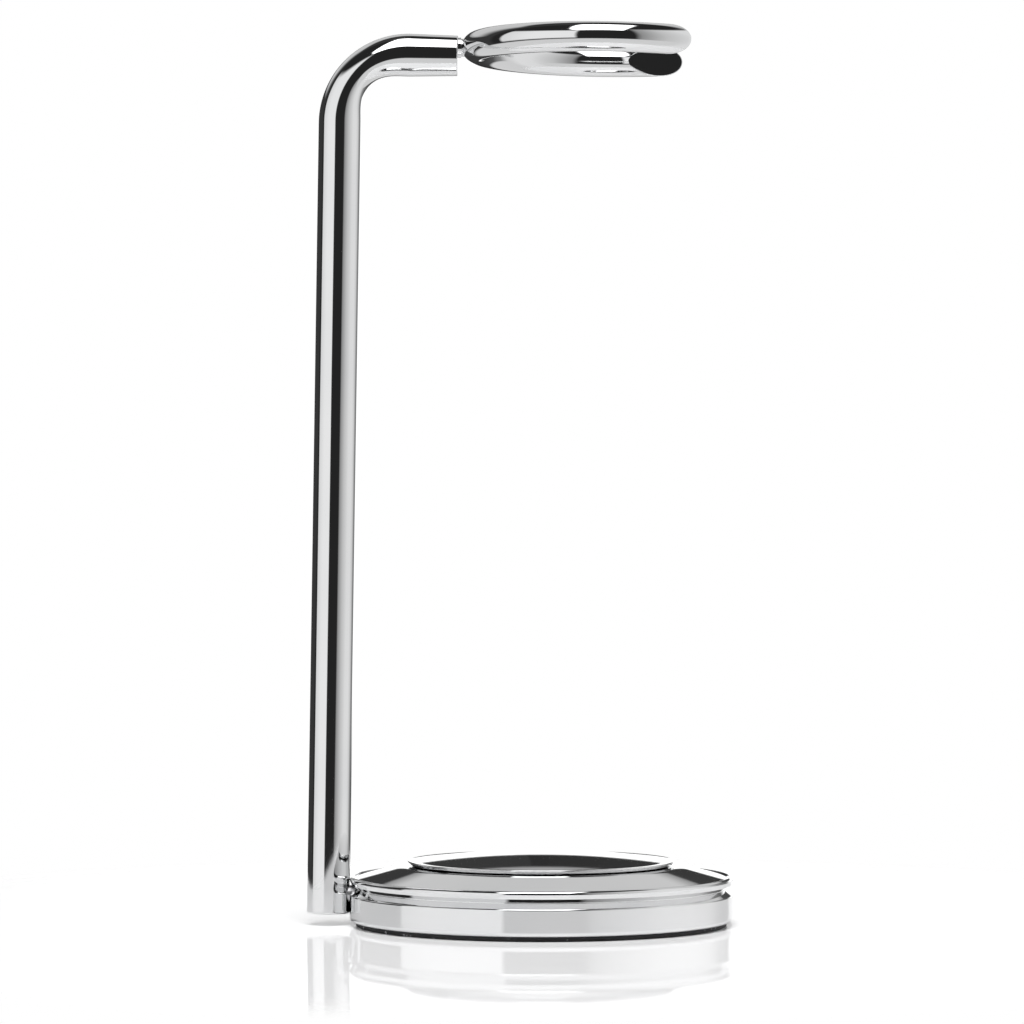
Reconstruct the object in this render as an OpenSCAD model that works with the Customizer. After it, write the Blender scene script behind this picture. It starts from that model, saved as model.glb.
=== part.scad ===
// Shaving brush stand: a weighted two-tier round base, a bent post screwed to the
// side of the base and an open ring that a brush hangs in.
// Millimetres, +Z up. The floor is z = 0 under the centre of the base. The arm and
// the mouth of the ring point along +X.

/* [Base] */
// Outside diameter of the base
base_d = 65; // [60:0.5:75]
// Height of the plain band, from its lower face to the V-groove
band_h = 4.5; // [4:0.1:7]
// Radius that breaks the lower edge of the band
band_round = 0.8; // [0.3:0.05:1]
// Height of the V-groove over the band
groove_h = 1.7; // [1.2:0.1:2.5]
// Depth of the V-groove
groove_depth = 1.25; // [0.6:0.05:1.6]
// Height of the lip over the groove
lip_h = 1.15; // [0.8:0.05:2]
// Slope of the shoulder between the lip and the crown disc, in degrees
shoulder_slope = 14.5; // [10:0.1:20]
// Wall thickness of the hollow shell
wall = 1.9; // [1.5:0.1:2.4]

/* [Crown disc] */
// Diameter of the upper tier
crown_d = 45.2; // [40:0.2:48]
// Height of the upper tier at its rim
crown_rim_h = 0.85; // [0.6:0.05:1.5]
// Radius of the shallow dome on top of the upper tier
crown_dome_r = 152; // [100:1:250]

/* [Foot and ballast] */
// Thickness of the rubber foot pad
pad_t = 0.75; // [0.5:0.05:2]
// Thickness of the flange of the ballast plate
plate_t = 2.2; // [1.8:0.1:2.4]
// Height of the ballast ring over that flange
ballast_h = 4.2; // [2:0.1:4.4]

/* [Post] */
// Diameter of the post rod
rod_d = 7.2; // [6:0.1:8]
// Height of the arm's centre line over the lower end of the post
post_rise = 145.5; // [110:0.5:180]
// Radius of the bend, to the centre line of the rod
bend_r = 11.65; // [9:0.05:15]
// Length of the arm, from the centre line of the post to the end face
arm_len = 19.8; // [18:0.1:24]
// Diameter of the arm at its end face
arm_tip_d = 6.8; // [6.4:0.1:7.2]
// Clearance between the lower end of the post and the floor
post_lift = 2; // [1.5:0.1:2.5]
// Lean of the post towards the ring, in degrees
post_lean = 0.85; // [0:0.05:1.5]

/* [Brush ring] */
// Diameter of the round bar that the ring is made of
bar_d = 5; // [4:0.1:6]
// Radius of the ring, to the centre line of the bar
ring_r = 21.5; // [18:0.1:24]
// Width of the mouth at the centre of the ring
mouth_w = 36; // [28:0.5:37]
// Angle at which each side of the mouth opens outwards, in degrees
mouth_flare = 4.5; // [0:0.5:8]
// Distance from the centre of the ring to its two blunted tips
tip_reach = 14.3; // [12:0.1:16]
// Gap between the end of the arm and the ring
neck_gap = 0.55; // [0.3:0.05:2]
// Height of the neck over the centre line of the arm
neck_rise = 1.4; // [0:0.1:1.6]

/* [Screws] */
// Nominal thread diameter of all screws and of the ring stud
thread_d = 3; // [2.5:0.5:3]
// Height of the post screw over the floor
post_screw_z = 5.2; // [4.9:0.1:5.6]

/* [Hidden] */

$fn = 96;
base_r = base_d / 2;
crown_r = crown_d / 2;
rod_r = rod_d / 2;
bar_r = bar_d / 2;
thread_r = thread_d / 2;
// clearance of a shank in its hole, and how far a cut runs past a face
fit_gap = 0.05;
cut = 1;

// levels of the base, bottom to top
z_shell = pad_t;
z_band = z_shell + band_h;
z_lip = z_band + groove_h;
z_rim = z_lip + lip_h;
// edge radii of the band, the lip and the crown disc
band_edge = 0.3;
lip_edge = 0.6;
crown_edge = 0.15;
// share of the groove's height from its deepest line up to the lip
groove_slant = 0.4;
// the lip leans outwards to its rounded edge, which stands a little over the channel
lip_inset = 0.35;
lip_lean = 0.25;
lip_undercut = 19;
lip_rise = 0.2;
lip_r = base_r - lip_inset + lip_lean;
// the shallow channel behind the lip
channel_round = 0.8;
channel_inset = 0.9;
channel_r = lip_r - channel_inset;
channel_turn = 22;
z_channel = z_rim;
// the shoulder rounds over into the flat seat of the crown disc
shoulder_round = 8.8;
seat_r = crown_r;
shoulder_end_r = seat_r + shoulder_round * sin(shoulder_slope);
channel_start_r = channel_r - channel_round * sin(shoulder_slope);
channel_start_z = z_channel + channel_round * (1 - cos(shoulder_slope));
shoulder_end_z = channel_start_z
  + (channel_start_r - shoulder_end_r) * tan(shoulder_slope);
z_seat = shoulder_end_z + shoulder_round * (1 - cos(shoulder_slope));

// inside of the shell
z_ceiling = z_seat - wall;
z_plate = z_shell + plate_t;
rim_wall = 5;
plate_ledge = 2;
ceiling_spare = 0.9;
cavity_r = base_r - rim_wall;
plate_seat_r = cavity_r + plate_ledge;
ceiling_r = seat_r + ceiling_spare;
cavity_edge_z = z_ceiling - (cavity_r - ceiling_r) * tan(shoulder_slope);
boss_r = 3.5;
boss_root = 0.3;
boss_gap = 0.1;
plate_screw_inset = 3;
plate_screw_r = cavity_r - plate_screw_inset;
plate_screw_angles = [0, 120, 240];
plate_thread_h = 4.2;
plate_thread_z = z_plate + plate_thread_h;

// crown disc
crown_foot_inset = 0.9;
crown_undercut = 30;
crown_tip_turn = 9.6;
crown_channel_round = 5;
crown_channel_r = crown_r - crown_edge - crown_channel_round * sin(crown_tip_turn);
crown_cap_r = crown_channel_r / (1 + crown_channel_round / crown_dome_r);
crown_cap_slope = asin(crown_cap_r / crown_dome_r);
z_crown_rim = z_seat + crown_rim_h;
z_crown_channel = z_crown_rim - crown_channel_round * (1 - cos(crown_tip_turn));
z_crown_cap = z_crown_channel + crown_channel_round * (1 - cos(crown_cap_slope));
spigot_r = 4;
spigot_gap = 0.4;
z_spigot = z_ceiling + spigot_gap;

// screws
head_r = 2.6;
head_h = 2.2;
washer_r = 2.7;
washer_t = 0.6;
spotface_r = 2.95;
spotface_x = cavity_r + 0.4;
split_w = 0.7;
crown_washer_r = 6;
crown_washer_t = 1;
hex_key_r = 1.45;
hex_key_depth = 1.2;
plate_key_r = 1;
plate_key_depth = 0.95;
crown_thread_h = 2.9;
crown_thread_spare = 0.4;
post_thread_len = 4.4;
csk_r = 2.8;
csk_h = csk_r - thread_r;
crown_head_z = z_ceiling - crown_washer_t;
ballast_in_r = 8;
ballast_gap = 1;
ballast_out_r = plate_screw_r - boss_r - ballast_gap;

// gap between the edge of the foot pad and the rounding of the band
pad_inset = 0.35;

// post, drawn upright at its own foot and then leaned
bite = 0.05;
lean_run = (z_band - post_lift) * tan(post_lean);
post_x = -(base_r + rod_r / cos(post_lean) - bite) - lean_run;
foot_break = 0.3;
ring_x = arm_len + neck_gap + bar_r + ring_r;
ring_z = post_rise + neck_rise;
stud_in_arm = 7;
stud_in_ring = 3;
collar_step = 0.2;
collar_r = thread_r + collar_step;

function arc(cx, cz, r, from, to, steps) =
  [for (i = [0:steps]) let (a = from + (to - from) * i / steps)
    [cx + r * cos(a), cz + r * sin(a)]];

base_shell();
crown_disc();
ballast_plate();
foot_pad();
plate_screws();
crown_screw();
crown_washer();
post_screw();
post_washer();
post();
ring_stud();
brush_ring();

// Outside line of the shell, from the foot up over the lip to the crown seat.
function shell_outside() = concat(
  arc(base_r - band_round, z_shell + band_round, band_round, -90, 0, 6),
  arc(base_r - band_edge, z_band - band_edge, band_edge, 0, 45, 3),
  [[base_r - groove_depth, z_lip - groove_h * groove_slant]],
  [[base_r - lip_inset, z_lip]],
  arc(lip_r - lip_edge, z_rim + lip_rise - lip_edge, lip_edge, -lip_undercut, 90, 6),
  arc(channel_r, z_channel + channel_round, channel_round,
    -90 + channel_turn, -90 - shoulder_slope, 7),
  arc(seat_r, z_seat - shoulder_round, shoulder_round,
    90 - shoulder_slope, 90, 6));

// Hollow cast shell: band, V-groove, lip and shoulder in one piece.
module base_shell() {
  color("silver")
  difference() {
    union() {
      rotate_extrude()
        polygon(concat(shell_outside(), [
          [0, z_seat],
          [0, z_ceiling],
          [ceiling_r, z_ceiling],
          [cavity_r, cavity_edge_z],
          [cavity_r, z_plate],
          [plate_seat_r, z_plate],
          [plate_seat_r, z_shell]]));
      screw_bosses();
    }
    translate([0, 0, z_ceiling - cut])
      cylinder(r = spigot_r + fit_gap, h = wall + 2 * cut);
    for (a = plate_screw_angles)
      rotate([0, 0, a])
        translate([plate_screw_r, 0, z_plate - cut])
          cylinder(r = thread_r + fit_gap, h = plate_thread_z + fit_gap - z_plate + cut);
    radial_bore(thread_r + fit_gap, ceiling_r, base_r + cut);
    radial_bore(spotface_r, ballast_out_r, spotface_x);
  }
}

// Bosses that take the screws of the ballast plate, just clear of the plate so that
// it is clamped against the ledge of the rim.
module screw_bosses() {
  for (a = plate_screw_angles)
    rotate([0, 0, a])
      translate([plate_screw_r, 0, z_plate + boss_gap])
        cylinder(r = boss_r, h = z_ceiling + boss_root - z_plate - boss_gap);
}

// Horizontal bore towards the post, between two distances from the base centre.
module radial_bore(r, from, to) {
  translate([-to, 0, post_screw_z])
    rotate([0, 90, 0])
      cylinder(r = r, h = to - from);
}

// Upper tier: a domed disc with an undercut edge, centred by a spigot.
module crown_disc() {
  color("gainsboro")
  difference() {
    rotate_extrude()
      polygon(concat(
        [[0, z_spigot], [spigot_r, z_spigot], [spigot_r, z_seat]],
        [[crown_r - crown_foot_inset, z_seat]],
        [[crown_r - crown_foot_inset / 2, z_seat + crown_rim_h / 4]],
        arc(crown_r - crown_edge, z_crown_rim - crown_edge, crown_edge,
          -crown_undercut, 90, 4),
        arc(crown_channel_r, z_crown_channel + crown_channel_round,
          crown_channel_round, -90 + crown_tip_turn, -90 - crown_cap_slope, 5),
        arc(0, z_crown_cap - crown_dome_r * cos(crown_cap_slope), crown_dome_r,
          90 - crown_cap_slope, 90, 10)));
    translate([0, 0, z_spigot - cut])
      cylinder(r = thread_r + fit_gap, h = crown_thread_h + cut);
  }
}

// Steel plate that closes the shell and carries the ballast ring.
module ballast_plate() {
  color("dimgray")
  difference() {
    union() {
      translate([0, 0, z_shell])
        cylinder(r = plate_seat_r - fit_gap, h = plate_t);
      translate([0, 0, z_shell])
        cylinder(r = ballast_out_r, h = plate_t + ballast_h);
    }
    translate([0, 0, z_plate])
      cylinder(r = ballast_in_r, h = ballast_h + cut);
    for (a = plate_screw_angles)
      rotate([0, 0, a])
        translate([plate_screw_r, 0, 0])
          countersunk_hole();
    radial_bore(spotface_r, ballast_out_r, spotface_x);
  }
}

module countersunk_hole() {
  translate([0, 0, z_shell - cut])
    cylinder(r = thread_r + fit_gap, h = plate_t + 2 * cut);
  translate([0, 0, z_shell])
    cylinder(r1 = csk_r, r2 = thread_r, h = csk_h);
}

// Rubber disc glued under the shell and the ballast plate.
module foot_pad() {
  color("black")
  cylinder(r = base_r - band_round - pad_inset, h = pad_t);
}

// Three countersunk screws that hold the ballast plate.
module plate_screws() {
  color("darkgray")
  for (a = plate_screw_angles)
    rotate([0, 0, a])
      translate([plate_screw_r, 0, z_shell])
        difference() {
          union() {
            cylinder(r1 = csk_r - fit_gap, r2 = thread_r - fit_gap, h = csk_h);
            cylinder(r = thread_r, h = plate_thread_z - z_shell);
          }
          translate([0, 0, -cut])
            cylinder(r = plate_key_r, h = plate_key_depth + cut, $fn = 6);
        }
}

// Cap screw with its head at z = 0 and its shank up, and a hexagon socket.
module cap_screw(shank) {
  difference() {
    union() {
      translate([0, 0, -head_h])
        cylinder(r = head_r, h = head_h);
      cylinder(r = thread_r, h = shank);
    }
    translate([0, 0, -head_h - cut])
      cylinder(r = hex_key_r, h = hex_key_depth + cut, $fn = 6);
  }
}

// Screw that pulls the crown disc down onto its seat.
module crown_screw() {
  color("darkgray")
  translate([0, 0, crown_head_z])
    cap_screw(z_spigot + crown_thread_h - crown_thread_spare - crown_head_z);
}

module crown_washer() {
  color("darkgray")
  translate([0, 0, crown_head_z])
    difference() {
      cylinder(r = crown_washer_r, h = crown_washer_t);
      translate([0, 0, -cut])
        cylinder(r = thread_r + fit_gap, h = crown_washer_t + 2 * cut);
    }
}

// Screw that runs from inside the shell through the rim into the post.
module post_screw() {
  color("darkgray")
  translate([-(spotface_x - washer_t), 0, post_screw_z])
    rotate([0, -90, 0])
      cap_screw(base_r + post_thread_len - spotface_x + washer_t);
}

// Split spring washer under the head of the post screw.
module post_washer() {
  color("darkgray")
  translate([-spotface_x, 0, post_screw_z])
    rotate([0, 90, 0])
      difference() {
        cylinder(r = washer_r, h = washer_t);
        translate([0, 0, -cut])
          cylinder(r = thread_r + fit_gap, h = washer_t + 2 * cut);
        translate([0, -split_w / 2, -cut])
          cube([washer_r + cut, split_w, washer_t + 2 * cut]);
      }
}

// Places its children in the frame of the post, which leans towards the ring.
module leaned() {
  translate([post_x, 0, post_lift])
    rotate([0, post_lean, 0])
      children();
}

// Round rod bent over at the top, drilled for the post screw and the ring stud.
module post() {
  color("silver")
  difference() {
    leaned()
      difference() {
        union() {
          cylinder(r1 = rod_r - foot_break, r2 = rod_r, h = foot_break);
          translate([0, 0, foot_break])
            cylinder(r = rod_r, h = post_rise - bend_r - foot_break);
          translate([bend_r, 0, post_rise - bend_r])
            mirror([1, 0, 0])
              rotate([90, 0, 0])
                rotate_extrude(angle = 90)
                  translate([bend_r, 0])
                    circle(r = rod_r, $fn = 48);
          translate([bend_r, 0, post_rise])
            rotate([0, 90, 0])
              cylinder(r1 = rod_r, r2 = arm_tip_d / 2, h = arm_len - bend_r);
        }
        translate([arm_len - stud_in_arm - fit_gap, 0, ring_z])
          rotate([0, 90, 0])
            cylinder(r = thread_r + fit_gap, h = stud_in_arm + cut);
      }
    // saddle that sits on the band, and the thread of the post screw
    cylinder(r = base_r, h = z_rim);
    radial_bore(thread_r + fit_gap, base_r - cut, base_r + post_thread_len + fit_gap);
  }
}

// Double-ended stud with a collar, the neck between the arm and the ring.
module ring_stud() {
  color("darkgray")
  leaned()
    translate([arm_len, 0, ring_z])
      rotate([0, 90, 0]) {
        translate([0, 0, -stud_in_arm])
          cylinder(r = thread_r, h = stud_in_arm + neck_gap + stud_in_ring);
        cylinder(r = collar_r, h = neck_gap);
      }
}

// Open ring of round bar, its mouth cut by two flat faces and its tips blunted.
module brush_ring() {
  mouth_far = 2 * ring_r;
  mouth_far_w = mouth_w / 2 + mouth_far * tan(mouth_flare);
  color("gainsboro")
  leaned()
    translate([ring_x, 0, ring_z])
      difference() {
        rotate_extrude()
          translate([ring_r, 0])
            circle(r = bar_r, $fn = 48);
        translate([0, 0, -bar_d])
          linear_extrude(height = 2 * bar_d)
            polygon([
              [0, -mouth_w / 2],
              [mouth_far, -mouth_far_w],
              [mouth_far, mouth_far_w],
              [0, mouth_w / 2]]);
        translate([tip_reach, -mouth_far, -bar_d])
          cube([mouth_far, 2 * mouth_far, 2 * bar_d]);
        translate([-ring_r - bar_r - cut, 0, 0])
          rotate([0, 90, 0])
            cylinder(r = thread_r + fit_gap, h = stud_in_ring + cut);
      }
}
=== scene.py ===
"""Chrome stand for a shaving brush: a two-tier turned base on a rubber foot, a bent
post and an open ring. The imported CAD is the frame; everything here is in metres."""
import math

import bmesh
import bpy
from mathutils import Matrix, Vector


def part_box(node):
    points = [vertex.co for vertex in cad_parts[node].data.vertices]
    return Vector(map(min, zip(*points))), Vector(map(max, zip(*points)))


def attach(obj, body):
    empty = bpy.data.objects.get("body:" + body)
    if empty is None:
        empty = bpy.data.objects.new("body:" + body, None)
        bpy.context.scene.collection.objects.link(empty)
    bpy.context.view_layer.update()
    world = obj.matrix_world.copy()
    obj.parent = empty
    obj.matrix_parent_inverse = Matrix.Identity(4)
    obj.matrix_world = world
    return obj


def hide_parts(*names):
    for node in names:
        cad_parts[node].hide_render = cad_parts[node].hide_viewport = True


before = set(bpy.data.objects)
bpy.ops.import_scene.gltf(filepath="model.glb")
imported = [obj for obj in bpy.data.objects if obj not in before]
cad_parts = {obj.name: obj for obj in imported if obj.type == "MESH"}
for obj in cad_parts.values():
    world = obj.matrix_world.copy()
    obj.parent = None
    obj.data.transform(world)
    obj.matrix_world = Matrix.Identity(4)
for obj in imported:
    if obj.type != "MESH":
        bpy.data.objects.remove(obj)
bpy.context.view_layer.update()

MM = 0.001
BODY = "root"
scene = bpy.context.scene

# ---------------------------------------------------------------- sizes of the stand
shell_low, shell_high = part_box("base_shell")
pad_low, pad_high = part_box("foot_pad")
crown_low, crown_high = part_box("crown_disc")

base_r = shell_high.x / MM
pad_r = pad_high.x / MM
crown_r = crown_high.x / MM
z_shell = shell_low.z / MM

# base shell
band_h = 4.5
band_round = 0.8
groove_h = 1.7
groove_depth = 1.25
groove_slant = 0.4
lip_h = 1.15
lip_inset = 0.35
lip_lean = 0.25
lip_undercut = 19
lip_rise = 0.2
band_edge = 0.3
lip_edge = 0.6
channel_round = 0.8
channel_inset = 0.9
channel_turn = 22
shoulder_slope = 14.5
shoulder_round = 8.8
wall = 1.9
rim_wall = 5
plate_t = 2.2
plate_ledge = 2
ceiling_spare = 0.9
# small roundings at the bottom of the groove, under the lip and under the crown disc
groove_soft = 0.1
lip_soft = 0.08
foot_soft = 0.15
z_band = z_shell + band_h
z_lip = z_band + groove_h
z_rim = z_lip + lip_h
lip_r = base_r - lip_inset + lip_lean
channel_r = lip_r - channel_inset
shoulder_sin = math.sin(math.radians(shoulder_slope))
shoulder_cos = math.cos(math.radians(shoulder_slope))
shoulder_tan = shoulder_sin / shoulder_cos
cone_out_r = channel_r - channel_round * shoulder_sin
cone_out_z = z_rim + channel_round * (1 - shoulder_cos)
cone_in_r = crown_r + shoulder_round * shoulder_sin
cone_in_z = cone_out_z + (cone_out_r - cone_in_r) * shoulder_tan
z_seat = cone_in_z + shoulder_round * (1 - shoulder_cos)
z_ceiling = z_seat - wall
z_plate = z_shell + plate_t
cavity_r = base_r - rim_wall
plate_seat_r = cavity_r + plate_ledge
ceiling_r = crown_r + ceiling_spare
cavity_edge_z = z_ceiling - (cavity_r - ceiling_r) * shoulder_tan

# crown disc
crown_rim_h = 0.85
crown_edge = 0.15
crown_foot_inset = 0.9
crown_undercut = 30
crown_tip_turn = 9.6
crown_channel_round = 5
crown_dome_r = 152
spigot_r = 4
fit_gap = 0.05
z_spigot = crown_low.z / MM

# post, upright in its own frame before it is leaned towards the ring
rod_r = 3.6
post_rise = 145.5
bend_r = 11.65
arm_len = 19.8
arm_tip_r = 3.4
post_lift = 2
post_lean = 0.85
foot_break = 0.3
arm_break = 0.22
# how much the tube has flattened on the inner side of the bend, as a share of its radius
inner_flat = 0.34
# how far the post bites into the band, and how far it leans up to the band's top
bite = 0.05
lean_run = (z_band - post_lift) * math.tan(math.radians(post_lean))
post_x = -(base_r + rod_r / math.cos(math.radians(post_lean)) - bite) - lean_run

# ring and the stud that holds it
bar_r = 2.5
ring_r = 21.5
mouth_half = 18
mouth_flare = 4.5
tip_round = 0.15
neck_gap = 0.55
neck_rise = 1.4
thread_r = 1.5
collar_r = 1.7
ring_x = arm_len + neck_gap + bar_r + ring_r
ring_z = post_rise + neck_rise

POST_FRAME = (Matrix.Translation((post_x * MM, 0, post_lift * MM))
              @ Matrix.Rotation(math.radians(post_lean), 4, "Y"))

# ---------------------------------------------------------------- camera
camera_data = bpy.data.cameras.new("camera")
camera_data.lens = 159.1
camera_data.sensor_width = 36
camera_data.shift_y = 0.00213
camera_data.clip_start = 0.01
camera = bpy.data.objects.new("camera", camera_data)
camera.location = (-0.00496, -0.7668, 0.06954)
camera.rotation_euler = (math.radians(90), 0, 0)
scene.collection.objects.link(camera)
scene.camera = camera


# ---------------------------------------------------------------- node helpers
class Graph:
    """A node tree that is written as sums: graph.math("ADD", a, b) and so on."""

    def __init__(self, tree):
        self.tree = tree

    def add(self, kind, values=None, **settings):
        node = self.tree.nodes.new(kind)
        for name, value in settings.items():
            setattr(node, name, value)
        for name, value in (values or {}).items():
            self.put(node.inputs[name], value)
        return node

    def put(self, socket, value):
        if isinstance(value, bpy.types.NodeSocket):
            self.tree.links.new(value, socket)
        else:
            socket.default_value = value

    def math(self, operation, *values, clamp=False):
        node = self.add("ShaderNodeMath", operation=operation, use_clamp=clamp)
        for socket, value in zip(node.inputs, values):
            self.put(socket, value)
        return node.outputs[0]

    def vector(self, x, y, z):
        return self.add("ShaderNodeCombineXYZ", {"X": x, "Y": y, "Z": z}).outputs[0]

    def split(self, vector):
        return self.add("ShaderNodeSeparateXYZ", {"Vector": vector}).outputs

    def rise(self, value, low, high):
        """0 under low, 1 over high, smooth between."""
        node = self.add("ShaderNodeMapRange", interpolation_type="SMOOTHSTEP")
        self.put(node.inputs["Value"], value)
        self.put(node.inputs["From Min"], low)
        self.put(node.inputs["From Max"], high)
        return node.outputs[0]

    def within(self, value, low, high, soft):
        """1 between low and high, with soft edges."""
        start = self.rise(value, low - soft, low + soft)
        stop = self.rise(value, high - soft, high + soft)
        return self.math("MULTIPLY", start, self.math("SUBTRACT", 1.0, stop))

    def mix(self, factor, a, b):
        """a where factor is 0, b where it is 1, for plain numbers."""
        node = self.add("ShaderNodeMix", data_type="FLOAT")
        self.put(node.inputs[0], factor)
        self.put(node.inputs[2], a)
        self.put(node.inputs[3], b)
        return node.outputs[0]

    def ramp(self, factor, stops, smooth=True):
        node = self.add("ShaderNodeValToRGB", {"Fac": factor})
        scale = node.color_ramp
        scale.interpolation = "EASE" if smooth else "LINEAR"
        while len(scale.elements) < len(stops):
            scale.elements.new(0.5)
        for element, (place, tone) in zip(scale.elements, stops):
            element.position = place
            element.color = tone if isinstance(tone, tuple) else (tone, tone, tone, 1)
        return node.outputs["Color"]


# ---------------------------------------------------------------- studio
def studio_world():
    """A dark room with a bright panel on the left, a fading reflector round the right
    and the back, a white backdrop, a soft box overhead and pale ground below."""
    world = bpy.data.worlds.new("studio")
    world.use_nodes = True
    scene.world = world
    g = Graph(world.node_tree)
    g.tree.nodes.clear()
    way = g.split(g.add("ShaderNodeTexCoord").outputs["Generated"])
    x, y, z = way[0], way[1], way[2]
    turn = g.math("MULTIPLY", g.math("ARCTAN2", x, g.math("MULTIPLY", y, -1)),
                  180 / math.pi)
    lift = g.math("MULTIPLY", g.math("ARCSINE", z), 180 / math.pi)

    dark = 0.022
    room = g.mix(g.rise(turn, -100, -108), dark, 0.045)

    # reflector that fades from the camera side round to the back on the right
    around = g.math("DIVIDE", turn, 180)
    sweep = g.ramp(around, [
        (0.135, 0.02), (0.172, 0.34), (0.29, 0.66), (0.44, 0.90), (0.56, 0.92),
        (0.66, 0.76), (0.74, 0.30), (0.78, 0.24), (0.84, 0.10), (1.0, 0.03)], smooth=False)
    right_low = g.math("MULTIPLY", sweep, g.rise(turn, 20, 29))
    right_top = g.math("SUBTRACT", 1.0, g.rise(lift, 47, 56))
    right = g.math("MULTIPLY", right_low, right_top)

    # white backdrop along the horizon behind the stand
    backdrop_side = g.math("MAXIMUM", g.rise(turn, 145, 158), g.rise(turn, -168, -176))
    backdrop_high = g.within(lift, -3.2, 8.3, 0.8)
    backdrop = g.math("MULTIPLY", g.math("MULTIPLY", backdrop_side, backdrop_high), 1.3)

    # grey wall over the backdrop, from the right round to the left
    wall_side = g.math("MAXIMUM", g.rise(turn, 112, 130), g.rise(turn, -108, -140))
    wall_high = g.math("MULTIPLY", g.rise(lift, 17.6, 19.2),
                       g.math("SUBTRACT", 1.0, g.rise(lift, 52, 60)))
    wall_tone = g.mix(g.rise(lift, 18.5, 23), 0.36, 0.68)
    back_wall = g.math("MULTIPLY", g.math("MULTIPLY", wall_side, wall_high), wall_tone)

    # diffuser panel on the left
    panel_side = g.within(turn, -92.5, -23, 2.2)
    panel_high = g.within(lift, -14, 38.5, 4)
    panel_tone = g.mix(g.rise(turn, -95, -55), 0.86, 1.02)
    panel = g.math("MULTIPLY", g.math("MULTIPLY", panel_side, panel_high), panel_tone)

    # soft box overhead, in front of the stand: x and y on a ceiling of unit height
    height = g.math("MAXIMUM", z, 0.05)
    across = g.math("DIVIDE", x, height)
    ahead = g.math("DIVIDE", g.math("MULTIPLY", y, -1), height)
    left_edge = g.math("MAXIMUM", g.math("SUBTRACT", -0.17, g.math("MULTIPLY", ahead, 0.45)),
                       -0.48)
    right_edge = g.math("ADD", 0.25, g.math("MULTIPLY", ahead, 0.10))
    box_left = g.rise(g.math("SUBTRACT", across, left_edge), -0.03, 0.03)
    box_right = g.math("SUBTRACT", 1.0,
                       g.rise(g.math("SUBTRACT", across, right_edge), -0.03, 0.03))
    box_deep = g.within(ahead, -0.09, 1.02, 0.06)
    box_up = g.rise(z, 0.3, 0.36)
    box = g.math("MULTIPLY", g.math("MULTIPLY", box_left, box_right),
                 g.math("MULTIPLY", box_deep, box_up))
    box = g.math("MULTIPLY", box, 3.4)

    # pale ground beyond the table, well under the horizon
    ground = g.math("MULTIPLY", g.math("SUBTRACT", 1.0, g.rise(lift, -24, -18)), 0.78)

    light = room
    for part in (right, backdrop, back_wall, panel, box, ground):
        light = g.math("MAXIMUM", light, part)

    # the room itself stays out of sight: the open background is plain white
    seen = g.add("ShaderNodeLightPath").outputs["Is Camera Ray"]
    strength = g.mix(seen, light, 1.0)
    sky = g.add("ShaderNodeBackground", {"Color": (1, 1, 1, 1), "Strength": strength})
    out = g.add("ShaderNodeOutputWorld")
    g.tree.links.new(sky.outputs[0], out.inputs[0])


def key_light():
    """A large soft light overhead, a little in front of the stand."""
    data = bpy.data.lights.new("softbox", "AREA")
    data.shape = "RECTANGLE"
    data.size = 0.5
    data.size_y = 0.5
    data.energy = 5.0
    lamp = bpy.data.objects.new("softbox", data)
    lamp.location = (-0.04, -0.42, 1.0)
    # it lights the table; the soft box that the chrome shows is in the world
    lamp.visible_glossy = False
    lamp.rotation_euler = (Vector((0, 0, 0)) - lamp.location).to_track_quat("-Z", "Y").to_euler()
    scene.collection.objects.link(lamp)


def floor_finish():
    """White acrylic table top that thins out to nothing towards its edge."""
    mat = bpy.data.materials.new("table_top")
    mat.use_nodes = True
    g = Graph(mat.node_tree)
    g.tree.nodes.clear()
    place = g.add("ShaderNodeTexCoord").outputs["Object"]
    axes = g.split(place)
    reach = g.math("SQRT", g.math("ADD", g.math("MULTIPLY", axes[0], axes[0]),
                                  g.math("MULTIPLY", axes[1], axes[1])))
    gone = g.rise(reach, 0.115, 0.150)
    white = g.add("ShaderNodeBsdfDiffuse", {"Color": (0.88, 0.88, 0.885, 1)})
    gloss = g.add("ShaderNodeBsdfAnisotropic", {"Color": (1, 1, 1, 1), "Roughness": 0.03})
    sheen = g.math("MULTIPLY", g.add("ShaderNodeFresnel", {"IOR": 1.45}).outputs[0], 0.5)
    top = g.add("ShaderNodeMixShader", {0: sheen, 1: white.outputs[0], 2: gloss.outputs[0]})
    clear = g.add("ShaderNodeBsdfTransparent")
    mixer = g.add("ShaderNodeMixShader", {0: gone, 1: top.outputs[0], 2: clear.outputs[0]})
    out = g.add("ShaderNodeOutputMaterial")
    g.tree.links.new(mixer.outputs[0], out.inputs[0])
    return mat


def table():
    mesh = bpy.data.meshes.new("floor")
    bm = bmesh.new()
    bmesh.ops.create_circle(bm, cap_ends=True, segments=96, radius=0.5)
    bm.to_mesh(mesh)
    bm.free()
    mesh.materials.append(floor_finish())
    floor = bpy.data.objects.new("floor", mesh)
    scene.collection.objects.link(floor)


scene.view_settings.view_transform = "Standard"
studio_world()
key_light()
table()


# ---------------------------------------------------------------- finishes
def new_finish(name):
    mat = bpy.data.materials.new(name)
    mat.use_nodes = True
    g = Graph(mat.node_tree)
    g.tree.nodes.clear()
    shader = g.add("ShaderNodeBsdfPrincipled")
    out = g.add("ShaderNodeOutputMaterial")
    g.tree.links.new(shader.outputs[0], out.inputs[0])
    return mat, g, shader, g.add("ShaderNodeTexCoord").outputs["Object"]


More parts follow.
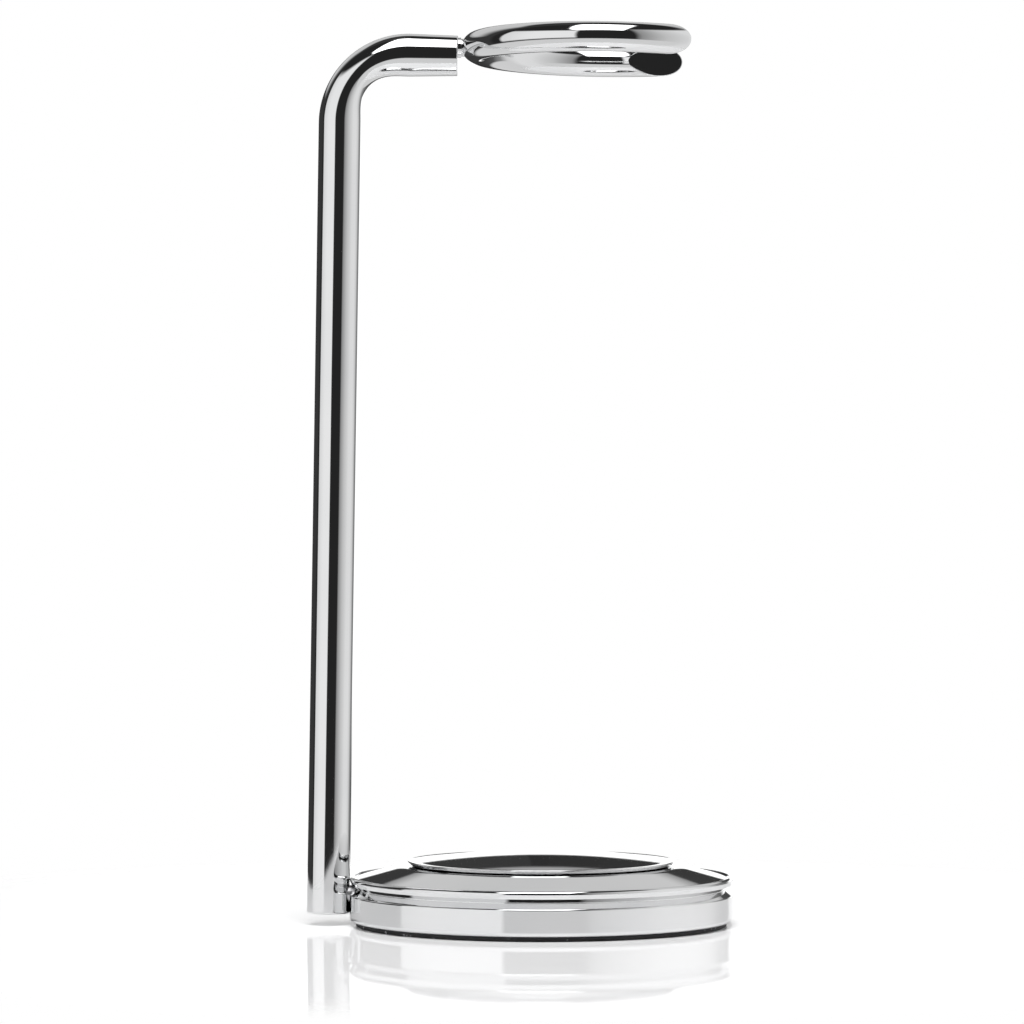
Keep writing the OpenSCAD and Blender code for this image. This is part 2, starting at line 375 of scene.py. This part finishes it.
def chrome_plate(name, grain):
    """Bright chrome. grain stretches the polishing marks along one direction."""
    mat, g, shader, place = new_finish(name)
    lines = g.add("ShaderNodeMapping", {"Vector": place, "Scale": grain})
    marks = g.add("ShaderNodeTexNoise", {
        "Vector": lines.outputs[0], "Scale": 900.0, "Detail": 3.0, "Roughness": 0.6})
    haze = g.add("ShaderNodeTexNoise", {"Vector": place, "Scale": 60.0, "Detail": 2.0})
    tone = g.ramp(haze.outputs[0], [(0.35, (0.745, 0.75, 0.755, 1)),
                                    (0.65, (0.77, 0.772, 0.775, 1))])
    g.put(shader.inputs["Base Color"], tone)
    shader.inputs["Metallic"].default_value = 1.0
    rough = g.math("ADD", 0.018, g.math("MULTIPLY", haze.outputs[0], 0.022))
    rough = g.math("ADD", rough, g.math("MULTIPLY", marks.outputs[0], 0.03))
    g.put(shader.inputs["Roughness"], rough)
    ripple = g.add("ShaderNodeBump", {
        "Height": marks.outputs[0], "Strength": 0.02, "Distance": 0.0001})
    g.put(shader.inputs["Normal"], ripple.outputs[0])
    return mat


def turned_steel(name):
    """Plain turned steel, with fine rings round the Z axis."""
    mat, g, shader, place = new_finish(name)
    axes = g.split(place)
    reach = g.math("SQRT", g.math("ADD", g.math("MULTIPLY", axes[0], axes[0]),
                                  g.math("MULTIPLY", axes[1], axes[1])))
    rings = g.add("ShaderNodeTexNoise", {
        "Vector": g.vector(reach, 0.0, axes[2]), "Scale": 2500.0, "Detail": 4.0})
    stain = g.add("ShaderNodeTexNoise", {"Vector": place, "Scale": 120.0, "Detail": 3.0})
    tone = g.ramp(stain.outputs[0], [(0.3, (0.42, 0.42, 0.43, 1)), (0.7, (0.55, 0.55, 0.56, 1))])
    g.put(shader.inputs["Base Color"], tone)
    shader.inputs["Metallic"].default_value = 1.0
    g.put(shader.inputs["Roughness"],
          g.math("ADD", 0.25, g.math("MULTIPLY", rings.outputs[0], 0.2)))
    bump = g.add("ShaderNodeBump", {
        "Height": rings.outputs[0], "Strength": 0.3, "Distance": 0.00003})
    g.put(shader.inputs["Normal"], bump.outputs[0])
    return mat


def foot_rubber(name):
    """Black rubber with a fine grain and a few pale specks of dust."""
    mat, g, shader, place = new_finish(name)
    grain = g.add("ShaderNodeTexNoise", {"Vector": place, "Scale": 2600.0, "Detail": 3.0})
    dust = g.add("ShaderNodeTexNoise", {"Vector": place, "Scale": 1500.0, "Detail": 1.0})
    patch = g.add("ShaderNodeTexNoise", {"Vector": place, "Scale": 130.0, "Detail": 1.0})
    speck = g.math("MULTIPLY", g.rise(dust.outputs[0], 0.66, 0.72),
                   g.rise(patch.outputs[0], 0.5, 0.62))
    mix = g.add("ShaderNodeMix", data_type="RGBA")
    g.put(mix.inputs[0], speck)
    mix.inputs[6].default_value = (0.010, 0.010, 0.011, 1)
    mix.inputs[7].default_value = (0.30, 0.30, 0.31, 1)
    g.put(shader.inputs["Base Color"], mix.outputs[2])
    g.put(shader.inputs["Roughness"], g.math("ADD", 0.5, g.math("MULTIPLY", grain.outputs[0], 0.3)))
    bump = g.add("ShaderNodeBump", {
        "Height": grain.outputs[0], "Strength": 0.4, "Distance": 0.00004})
    g.put(shader.inputs["Normal"], bump.outputs[0])
    return mat


post_chrome = chrome_plate("post_chrome", (1.0, 1.0, 0.06))
base_chrome = chrome_plate("base_chrome", (0.3, 0.3, 1.0))
ring_chrome = chrome_plate("ring_chrome", (0.3, 0.3, 1.0))
steel = turned_steel("turned_steel")
rubber = foot_rubber("foot_rubber")


# ---------------------------------------------------------------- outlines
def arc(cx, cz, r, start, stop, steps):
    """Points of an arc from start to stop, in degrees, on the outline plane."""
    points = []
    for i in range(steps + 1):
        a = math.radians(start + (stop - start) * i / steps)
        points.append((cx + r * math.cos(a), cz + r * math.sin(a)))
    return points


def rounded(before, corner, after, r, steps=5):
    """The corner replaced by an arc of radius r that touches both of its sides."""
    a = Vector(before) - Vector(corner)
    b = Vector(after) - Vector(corner)
    a.normalize()
    b.normalize()
    half = a.angle(b) / 2
    setback = r / math.tan(half)
    centre = Vector(corner) + (a + b).normalized() * (r / math.sin(half))
    first = Vector(corner) + a * setback - centre
    last = Vector(corner) + b * setback - centre
    sweep = first.angle_signed(last)
    points = []
    for i in range(steps + 1):
        v = first.copy()
        v.rotate(Matrix.Rotation(-sweep * i / steps, 2))
        points.append(tuple(centre + v))
    return points


def with_support(outline, near=0.02, longest=1.2):
    """Extra points close to both ends of each long side, so that smooth shading
    stays flat on the flats, and even steps between them."""
    points = []
    for (ax, az), (bx, bz) in zip(outline, outline[1:]):
        length = math.hypot(bx - ax, bz - az)
        places = [0.0]
        if length > 4 * near:
            places += [near / length]
            steps = max(1, math.ceil(length / longest))
            places += [i / steps for i in range(1, steps)]
            places += [1 - near / length]
        points += [(ax + (bx - ax) * t, az + (bz - az) * t) for t in places]
    points.append(outline[-1])
    return points


def shell_outline():
    """Closed outline of the hollow shell, from its foot up the outside, over the
    shoulder to the crown hole and back down through the cavity."""
    groove = (base_r - groove_depth, z_lip - groove_h * groove_slant)
    band_top = (base_r, z_band)
    lip_low = (base_r - lip_inset, z_lip)
    lip_tip = arc(lip_r - lip_edge, z_rim + lip_rise - lip_edge, lip_edge,
                  -lip_undercut, 90, 14)
    outside = arc(base_r - band_round, z_shell + band_round, band_round, -90, 0, 12)
    outside += rounded((base_r, z_shell + 1), band_top, groove, band_edge, 8)
    outside += rounded(band_top, groove, lip_low, groove_soft, 6)
    outside += rounded(groove, lip_low, lip_tip[0], lip_soft, 6)
    outside += lip_tip
    outside += arc(channel_r, z_rim + channel_round, channel_round,
                   -90 + channel_turn, -90 - shoulder_slope, 16)
    outside += arc(crown_r, z_seat - shoulder_round, shoulder_round,
                   90 - shoulder_slope, 90, 12)
    hole_r = spigot_r + fit_gap
    inside = [(hole_r, z_seat), (hole_r, z_ceiling), (ceiling_r, z_ceiling),
              (cavity_r, cavity_edge_z), (cavity_r, z_plate), (plate_seat_r, z_plate),
              (plate_seat_r, z_shell)]
    return outside + inside + [outside[0]]


def crown_outline():
    """Outline of the domed upper tier, from the bottom of its spigot to its top."""
    channel_r2 = crown_r - crown_edge - crown_channel_round * math.sin(
        math.radians(crown_tip_turn))
    cap_r = channel_r2 / (1 + crown_channel_round / crown_dome_r)
    cap_slope = math.degrees(math.asin(cap_r / crown_dome_r))
    z_tip = z_seat + crown_rim_h
    z_channel = z_tip - crown_channel_round * (1 - math.cos(math.radians(crown_tip_turn)))
    z_cap = z_channel + crown_channel_round * (1 - math.cos(math.radians(cap_slope)))
    dome_centre = z_cap - crown_dome_r * math.cos(math.radians(cap_slope))
    foot = (crown_r - crown_foot_inset, z_seat)
    knee = (crown_r - crown_foot_inset / 2, z_seat + crown_rim_h / 4)
    tip = arc(crown_r - crown_edge, z_tip - crown_edge, crown_edge, -crown_undercut, 90, 10)
    points = [(0, z_spigot), (spigot_r, z_spigot), (spigot_r, z_seat), foot]
    points += rounded(foot, knee, tip[0], foot_soft, 5)
    points += tip
    points += arc(channel_r2, z_channel + crown_channel_round, crown_channel_round,
                  -90 + crown_tip_turn, -90 - cap_slope, 16)
    points += arc(0, dome_centre, crown_dome_r, 90 - cap_slope, 90, 24)
    points[-1] = (0, points[-1][1])
    return points


def pad_outline():
    """Foot pad with its edges a little rounded, from the middle of its underside."""
    r = 0.12
    top = pad_high.z / MM
    points = [(0, 0)] + arc(pad_r - r, r, r, -90, 0, 5) + arc(pad_r - r, top - r, r, 0, 90, 5)
    return points + [(0, top)]


def stud_outline():
    """Threaded stud with its collar, along its own axis."""
    in_arm = 7
    in_ring = 3
    pitch = 0.5
    depth = 0.16
    points = [(0, -in_arm)]
    turns = int(in_arm / pitch)
    for i in range(turns):
        z = -in_arm + i * pitch
        points += [(thread_r - depth, z), (thread_r - 0.02, z + pitch / 2)]
    points += [(thread_r - depth, 0), (collar_r, 0), (collar_r, neck_gap),
               (thread_r, neck_gap), (thread_r, neck_gap + in_ring), (0, neck_gap + in_ring)]
    return points


# ---------------------------------------------------------------- geometry node trees
def tree_with(name, inputs):
    """A geometry tree that takes one geometry and the named inputs."""
    tree = bpy.data.node_groups.new(name, "GeometryNodeTree")
    tree.interface.new_socket("Geometry", in_out="INPUT", socket_type="NodeSocketGeometry")
    tree.interface.new_socket("Geometry", in_out="OUTPUT", socket_type="NodeSocketGeometry")
    for label, kind in inputs:
        tree.interface.new_socket(label, in_out="INPUT", socket_type="NodeSocket" + kind)
    g = Graph(tree)
    entry = g.add("NodeGroupInput")
    return tree, g, entry.outputs


def close_tree(g, geometry, finish):
    """Smooth shading, real instances and the finish end every tree."""
    smooth = g.add("GeometryNodeSetShadeSmooth", {"Geometry": geometry})
    real = g.add("GeometryNodeRealizeInstances", {"Geometry": smooth.outputs[0]})
    coat = g.add("GeometryNodeSetMaterial", {"Geometry": real.outputs[0], "Material": finish})
    out = g.add("NodeGroupOutput")
    g.tree.links.new(coat.outputs[0], out.inputs[0])


def turning_tree():
    """Turns an outline, radius on X and height on Z, round the Z axis."""
    tree, g, given = tree_with("turned_part", [
        ("Outline Points", "Int"), ("Steps Round", "Int"), ("Weld", "Float"),
        ("Finish", "Material")])
    rows = g.math("ADD", given["Steps Round"], 1)
    net = g.add("GeometryNodeMeshGrid", {"Size X": 1.0, "Size Y": 1.0,
                                         "Vertices X": given["Outline Points"],
                                         "Vertices Y": rows})
    share = g.split(net.outputs["UV Map"])
    last = g.math("SUBTRACT", given["Outline Points"], 1)
    number = g.math("ROUND", g.math("MULTIPLY", share[0], last))
    outline = g.add("GeometryNodeSampleIndex", data_type="FLOAT_VECTOR")
    g.put(outline.inputs["Geometry"], given["Geometry"])
    g.put(outline.inputs["Value"], g.add("GeometryNodeInputPosition").outputs[0])
    g.put(outline.inputs["Index"], number)
    point = g.split(outline.outputs[0])
    angle = g.math("MULTIPLY", share[1], 2 * math.pi)
    place = g.vector(g.math("MULTIPLY", point[0], g.math("COSINE", angle)),
                     g.math("MULTIPLY", point[0], g.math("SINE", angle)), point[2])
    moved = g.add("GeometryNodeSetPosition", {"Geometry": net.outputs["Mesh"],
                                              "Position": place})
    welded = g.add("GeometryNodeMergeByDistance", {"Geometry": moved.outputs[0],
                                                   "Distance": given["Weld"]})
    close_tree(g, welded.outputs[0], given["Finish"])
    return tree


def rod_tree():
    """Sweeps a round rod along a path whose points carry its radius, and flattens
    the rod on the inner side of the bend."""
    tree, g, given = tree_with("bent_rod", [
        ("Sides", "Int"), ("Bend X", "Float"), ("Bend Z", "Float"), ("Bend Radius", "Float"),
        ("Inner Flat", "Float"), ("Finish", "Material")])
    path = g.add("GeometryNodeMeshToCurve", {"Mesh": given["Geometry"]})
    section = g.add("GeometryNodeCurvePrimitiveCircle", {"Radius": 1.0})
    g.put(section.inputs["Resolution"], given["Sides"])
    size = g.add("GeometryNodeInputNamedAttribute", {"Name": "rod_radius"},
                 data_type="FLOAT")
    swept = g.add("GeometryNodeCurveToMesh", {
        "Curve": path.outputs[0], "Profile Curve": section.outputs[0],
        "Scale": size.outputs["Attribute"], "Fill Caps": True})
    axes = g.split(g.add("GeometryNodeInputPosition").outputs[0])
    dx = g.math("SUBTRACT", axes[0], given["Bend X"])
    dz = g.math("SUBTRACT", axes[2], given["Bend Z"])
    reach = g.math("SQRT", g.math("ADD", g.math("MULTIPLY", dx, dx), g.math("MULTIPLY", dz, dz)))
    turn = g.math("ARCTAN2", dz, g.math("MULTIPLY", dx, -1))
    turn = g.math("MINIMUM", g.math("MAXIMUM", turn, 0.0), math.pi / 2)
    wave = g.math("SINE", g.math("MULTIPLY", turn, 2))
    deep = g.math("MAXIMUM", g.math("SUBTRACT", given["Bend Radius"], reach), 0.0)
    shift = g.math("MULTIPLY", g.math("MULTIPLY", deep, given["Inner Flat"]),
                   g.math("MULTIPLY", wave, wave))
    part = g.math("DIVIDE", shift, g.math("MAXIMUM", reach, 1e-6))
    offset = g.vector(g.math("MULTIPLY", dx, part), 0.0, g.math("MULTIPLY", dz, part))
    flat = g.add("GeometryNodeSetPosition", {"Geometry": swept.outputs[0], "Offset": offset})
    close_tree(g, flat.outputs[0], given["Finish"])
    return tree


# ---------------------------------------------------------------- making pieces
def line_mesh(name, points, radii=None):
    """A chain of edges through points, in metres, with the rod's radius on each."""
    mesh = bpy.data.meshes.new(name)
    mesh.from_pydata(points, [(i, i + 1) for i in range(len(points) - 1)], [])
    if radii:
        layer = mesh.attributes.new("rod_radius", "FLOAT", "POINT")
        layer.data.foreach_set("value", radii)
    return mesh


def grown(name, mesh, tree, settings):
    """The mesh that a geometry tree makes from a chain of edges, as a plain object."""
    source = bpy.data.objects.new(name + "_source", mesh)
    scene.collection.objects.link(source)
    modifier = source.modifiers.new(tree.name, "NODES")
    modifier.node_group = tree
    for item in tree.interface.items_tree:
        if item.item_type == "SOCKET" and item.in_out == "INPUT" and item.name in settings:
            modifier[item.identifier] = settings[item.name]
    bpy.context.view_layer.update()
    shape = source.evaluated_get(bpy.context.evaluated_depsgraph_get())
    plain = bpy.data.meshes.new_from_object(shape)
    plain.name = name
    bpy.data.objects.remove(source)
    return tidy(name, plain)


def tidy(name, mesh):
    """Outward faces on a closed shell that keeps the smooth shading it came with, and its object.
    """
    bm = bmesh.new()
    bm.from_mesh(mesh)
    bmesh.ops.remove_doubles(bm, verts=bm.verts, dist=1e-7)
    bmesh.ops.recalc_face_normals(bm, faces=bm.faces)
    bm.to_mesh(mesh)
    bm.free()
    piece = bpy.data.objects.new(name, mesh)
    scene.collection.objects.link(piece)
    return piece


def turned(name, outline, finish, frame_of=None, steps=224):
    points = [(r * MM, 0, z * MM) for r, z in outline]
    piece = grown(name, line_mesh(name + "_outline", points), TURNING, {
        "Outline Points": len(points), "Steps Round": steps, "Weld": 1e-7, "Finish": finish})
    if frame_of:
        piece.data.transform(frame_of)
    return piece


def finish_piece(piece, node):
    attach(piece, BODY)
    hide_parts(node)


TURNING = turning_tree()
ROD = rod_tree()


def make_base():
    shell = turned("polished_shell", with_support(shell_outline()), base_chrome)
    finish_piece(shell, "base_shell")
    crown = turned("polished_crown", with_support(crown_outline()), base_chrome)
    finish_piece(crown, "crown_disc")
    pad = turned("rubber_foot", with_support(pad_outline()), rubber, steps=160)
    finish_piece(pad, "foot_pad")


def post_path():
    """Centre line and radius of the rod in its own frame, from the foot to the end of
    the arm, with both ends broken by a small round."""
    rows = []
    for i in range(7):
        a = math.radians(90 * i / 6)
        rows.append((0, foot_break * (1 - math.cos(a)), rod_r - foot_break * (1 - math.sin(a))))
    straight = post_rise - bend_r
    for i in range(1, 34):
        rows.append((0, foot_break + (straight - foot_break) * i / 34, rod_r))
    for i in range(49):
        a = math.radians(180 - 90 * i / 48)
        rows.append((bend_r + bend_r * math.cos(a), straight + bend_r * math.sin(a), rod_r))
    for i in range(1, 9):
        t = i / 9
        rows.append((bend_r + (arm_len - arm_break - bend_r) * t, post_rise,
                     rod_r + (arm_tip_r - rod_r) * t))
    for i in range(7):
        a = math.radians(90 * i / 6)
        rows.append((arm_len - arm_break * (1 - math.sin(a)), post_rise,
                     arm_tip_r - arm_break * (1 - math.cos(a))))
    points = [(x * MM, 0, z * MM) for x, z, r in rows]
    return points, [r * MM for x, z, r in rows]


def make_post():
    points, radii = post_path()
    rod = grown("polished_post", line_mesh("post_path", points, radii), ROD, {
        "Sides": 112, "Bend X": bend_r * MM, "Bend Z": (post_rise - bend_r) * MM,
        "Bend Radius": bend_r * MM, "Inner Flat": inner_flat, "Finish": post_chrome})
    rod.data.transform(POST_FRAME)
    finish_piece(rod, "post")
    turn = (POST_FRAME @ Matrix.Translation((arm_len * MM, 0, ring_z * MM))
            @ Matrix.Rotation(math.radians(90), 4, "Y"))
    stud = turned("polished_stud", with_support(stud_outline()), ring_chrome, turn, steps=48)
    finish_piece(stud, "ring_stud")


def ring_point(turn, section, r):
    """A point of the ring bar and its outward direction. turn runs round the ring from
    the stud, section round the bar, and r is the distance from the bar's centre line."""
    out = Vector((-math.cos(turn), math.sin(turn), 0))
    way = out * math.cos(section) + Vector((0, 0, 1)) * math.sin(section)
    return out * ring_r + way * r, way


def cut_turn(section, side):
    """How far round the ring the rounding of the cut face is centred, on one side of
    the bar: where the bar, thinner by the rounding, meets the face set back by it."""
    flare = math.radians(mouth_flare)
    inward = Vector((math.sin(flare), -side * math.cos(flare), 0))
    level = inward.dot(Vector((0, side * mouth_half, 0))) - tip_round
    low, high = math.radians(60), math.radians(150)
    for _ in range(50):
        turn = (low + high) / 2
        point = ring_point(turn * side, section, bar_r - tip_round)[0]
        if point.dot(inward) < level:
            low = turn
        else:
            high = turn
    return low * side, inward


def ring_mesh():
    sections = 96
    rows_half = 110
    round_steps = 7
    bm = bmesh.new()
    columns = []
    for j in range(sections):
        section = 2 * math.pi * j / sections
        right_end, right_face = cut_turn(section, 1)
        left_end, left_face = cut_turn(section, -1)
        column = []
        for end, face in ((left_end, left_face), (right_end, right_face)):
            stretch = []
            centre, way = ring_point(end, section, bar_r - tip_round)
            for i in range(round_steps, 0, -1):
                bent = way.slerp(face, i / round_steps)
                stretch.append(centre + bent * tip_round)
            for i in range(rows_half):
                share = 1 - i / rows_half
                stretch.append(ring_point(end * share, section, bar_r)[0])
            if face is left_face:
                column += stretch
            else:
                column.append(ring_point(0, section, bar_r)[0])
                column += stretch[::-1]
        columns.append([bm.verts.new(p * MM) for p in column])
    length = len(columns[0])
    for j in range(sections):
        here, after = columns[j], columns[(j + 1) % sections]
        for i in range(length - 1):
            bm.faces.new((here[i], here[i + 1], after[i + 1], after[i]))
    for end in (0, length - 1):
        rim = [column[end] for column in columns]
        middle = sum((v.co for v in rim), Vector()) / sections
        inner = [bm.verts.new(v.co.lerp(middle, 0.03)) for v in rim]
        for j in range(sections):
            k = (j + 1) % sections
            bm.faces.new((rim[j], rim[k], inner[k], inner[j]))
        bm.faces.new(inner)
    for face in bm.faces:
        face.smooth = True
    mesh = bpy.data.meshes.new("polished_ring")
    bm.to_mesh(mesh)
    bm.free()
    mesh.transform(POST_FRAME @ Matrix.Translation((ring_x * MM, 0, ring_z * MM)))
    mesh.materials.append(ring_chrome)
    return mesh


def make_ring():
    ring = tidy("polished_ring", ring_mesh())
    finish_piece(ring, "brush_ring")


def coat_cad_nodes():
    """The inner parts keep their CAD shape and take a turned steel finish."""
    for name in ("ballast_plate", "plate_screws", "crown_screw", "crown_washer",
                 "post_screw", "post_washer"):
        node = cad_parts[name]
        node.data.materials.clear()
        node.data.materials.append(steel)


make_base()
make_post()
make_ring()
coat_cad_nodes()
